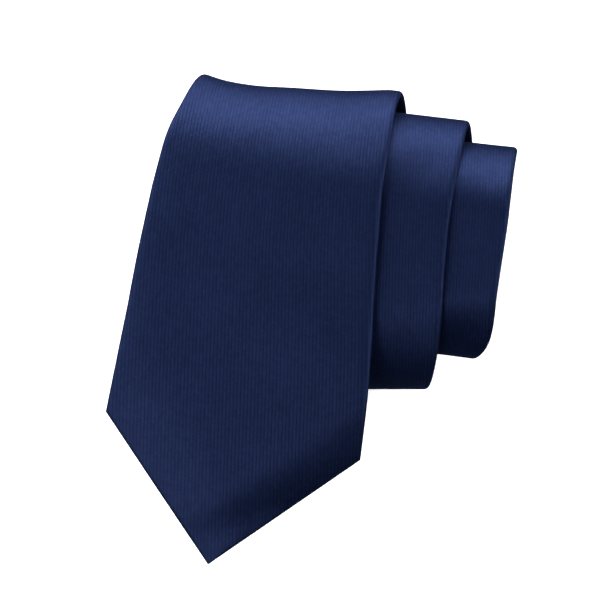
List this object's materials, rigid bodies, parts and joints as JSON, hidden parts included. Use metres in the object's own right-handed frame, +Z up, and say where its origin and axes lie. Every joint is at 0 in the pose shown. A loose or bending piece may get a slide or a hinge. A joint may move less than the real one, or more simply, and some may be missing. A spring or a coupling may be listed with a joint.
{
  "type": "necktie",
  "caption": "Rolled necktie in plain satin twill, lying with its pointed wide blade on top; the outer turn unrolls and the blade's tip curls.",
  "frame": {"origin": "on the table, under the flat underside of the roll's outer turn, level with the middle of the tie's run", "axes": "+Z up from the table; +Y towards the fold that the blade hangs from; -Y towards the blade's tip; the turns fan out towards +X"},
  "size_m": [0.128, 0.1507, 0.0496],
  "materials": {
    "twill": "navy satin twill with fine lengthwise ribs",
    "tipping": "plain navy lining cloth",
    "interlining": "brushed off-white interlining",
    "thread": "navy sewing thread",
    "label": "blank woven satin label",
    "care": "blank white satin label"
  },
  "bodies": {
    "root": {"bar_tack_tail": "thread", "care_label": "care", "interlining_roll": "interlining", "seam_blade_to_neck": "thread", "seam_neck_to_tail": "thread", "shell_neck": "twill", "shell_roll": "twill", "shell_tail": "twill", "slip_stitch_roll": "thread", "tipping_tail": "tipping"},
    "fold_link_1": {"interlining_fold_1": "interlining", "shell_fold_1": "twill", "slip_stitch_fold_1": "thread"},
    "fold_link_2": {"interlining_fold_2": "interlining", "shell_fold_2": "twill", "slip_stitch_fold_2": "thread"},
    "fold_link_3": {"interlining_fold_3": "interlining", "shell_fold_3": "twill", "slip_stitch_fold_3": "thread"},
    "fold_link_4": {"interlining_fold_4": "interlining", "shell_fold_4": "twill", "slip_stitch_fold_4": "thread"},
    "fold_link_5": {"interlining_fold_5": "interlining", "shell_fold_5": "twill", "slip_stitch_fold_5": "thread"},
    "fold_link_6": {"interlining_fold_6": "interlining", "shell_fold_6": "twill", "slip_stitch_fold_6": "thread"},
    "fold_link_7": {"interlining_fold_7": "interlining", "shell_fold_7": "twill", "slip_stitch_fold_7": "thread"},
    "fold_link_8": {"interlining_fold_8": "interlining", "shell_fold_8": "twill", "slip_stitch_fold_8": "thread"},
    "fold_link_9": {"interlining_fold_9": "interlining", "shell_fold_9": "twill", "slip_stitch_fold_9": "thread", "keeper_loop": "twill", "keeper_stitch_left": "thread", "keeper_stitch_right": "thread"},
    "blade": {"bar_tack_blade": "thread", "interlining_blade": "interlining", "shell_blade": "twill", "slip_stitch_blade": "thread", "tipping_blade": "tipping", "label_stitch_left": "thread", "label_stitch_right": "thread", "maker_label": "label"},
    "blade_lower": {"interlining_blade_lower": "interlining", "shell_blade_lower": "twill", "tipping_blade_lower": "tipping"},
    "blade_tip": {"interlining_blade_tip": "interlining", "shell_blade_tip": "twill", "tipping_blade_tip": "tipping"}
  },
  "joints": [
    {"name": "unroll_1", "type": "hinge", "parent": "root", "child": "fold_link_1", "pos_m": [0, 0.02283, 0.00046], "axis": [-0.9948, 0.1021, 0], "range_deg": [0, 18], "stiffness_Nm_per_rad": 0.001},
    {"name": "unroll_2", "type": "hinge", "parent": "fold_link_1", "child": "fold_link_2", "pos_m": [0, 0.0332, 0.00379], "axis": [-0.9948, 0.1021, 0], "range_deg": [0, 18], "stiffness_Nm_per_rad": 0.001},
    {"name": "unroll_3", "type": "hinge", "parent": "fold_link_2", "child": "fold_link_3", "pos_m": [0, 0.04066, 0.00915], "axis": [-0.9948, 0.1021, 0], "range_deg": [0, 18], "stiffness_Nm_per_rad": 0.001},
    {"name": "unroll_4", "type": "hinge", "parent": "fold_link_3", "child": "fold_link_4", "pos_m": [0, 0.04518, 0.01531], "axis": [-0.9948, 0.1021, 0], "range_deg": [0, 18], "stiffness_Nm_per_rad": 0.001},
    {"name": "unroll_5", "type": "hinge", "parent": "fold_link_4", "child": "fold_link_5", "pos_m": [0, 0.04725, 0.02163], "axis": [-0.9948, 0.1021, 0], "range_deg": [0, 18], "stiffness_Nm_per_rad": 0.001},
    {"name": "unroll_6", "type": "hinge", "parent": "fold_link_5", "child": "fold_link_6", "pos_m": [0, 0.04725, 0.02797], "axis": [-0.9948, 0.1021, 0], "range_deg": [0, 18], "stiffness_Nm_per_rad": 0.001},
    {"name": "unroll_7", "type": "hinge", "parent": "fold_link_6", "child": "fold_link_7", "pos_m": [0, 0.04518, 0.03429], "axis": [-0.9948, 0.1021, 0], "range_deg": [0, 18], "stiffness_Nm_per_rad": 0.001},
    {"name": "unroll_8", "type": "hinge", "parent": "fold_link_7", "child": "fold_link_8", "pos_m": [0, 0.04066, 0.04045], "axis": [-0.9948, 0.1021, 0], "range_deg": [0, 18], "stiffness_Nm_per_rad": 0.001},
    {"name": "unroll_9", "type": "hinge", "parent": "fold_link_8", "child": "fold_link_9", "pos_m": [0, 0.0332, 0.04582], "axis": [-0.9948, 0.1021, 0], "range_deg": [0, 18], "stiffness_Nm_per_rad": 0.001},
    {"name": "unroll_10", "type": "hinge", "parent": "fold_link_9", "child": "blade", "pos_m": [0, 0.02283, 0.04914], "axis": [-0.9948, 0.1021, 0], "range_deg": [0, 18], "stiffness_Nm_per_rad": 0.001},
    {"name": "tip_curl_upper", "type": "hinge", "parent": "blade", "child": "blade_lower", "pos_m": [0, -0.02004, 0.04838], "axis": [1, 0, 0], "range_deg": [-30, 15], "stiffness_Nm_per_rad": 0.02},
    {"name": "tip_curl_lower", "type": "hinge", "parent": "blade_lower", "child": "blade_tip", "pos_m": [0, -0.04397, 0.04796], "axis": [1, 0, 0], "range_deg": [-30, 15], "stiffness_Nm_per_rad": 0.02}
  ],
  "couplings": [
    {"joint": "unroll_2", "follows": "unroll_1", "ratio": 1},
    {"joint": "unroll_3", "follows": "unroll_1", "ratio": 1},
    {"joint": "unroll_4", "follows": "unroll_1", "ratio": 1},
    {"joint": "unroll_5", "follows": "unroll_1", "ratio": 1},
    {"joint": "unroll_6", "follows": "unroll_1", "ratio": 1},
    {"joint": "unroll_7", "follows": "unroll_1", "ratio": 1},
    {"joint": "unroll_8", "follows": "unroll_1", "ratio": 1},
    {"joint": "unroll_9", "follows": "unroll_1", "ratio": 1},
    {"joint": "unroll_10", "follows": "unroll_1", "ratio": 1},
    {"joint": "tip_curl_lower", "follows": "tip_curl_upper", "ratio": 1}
  ]
}
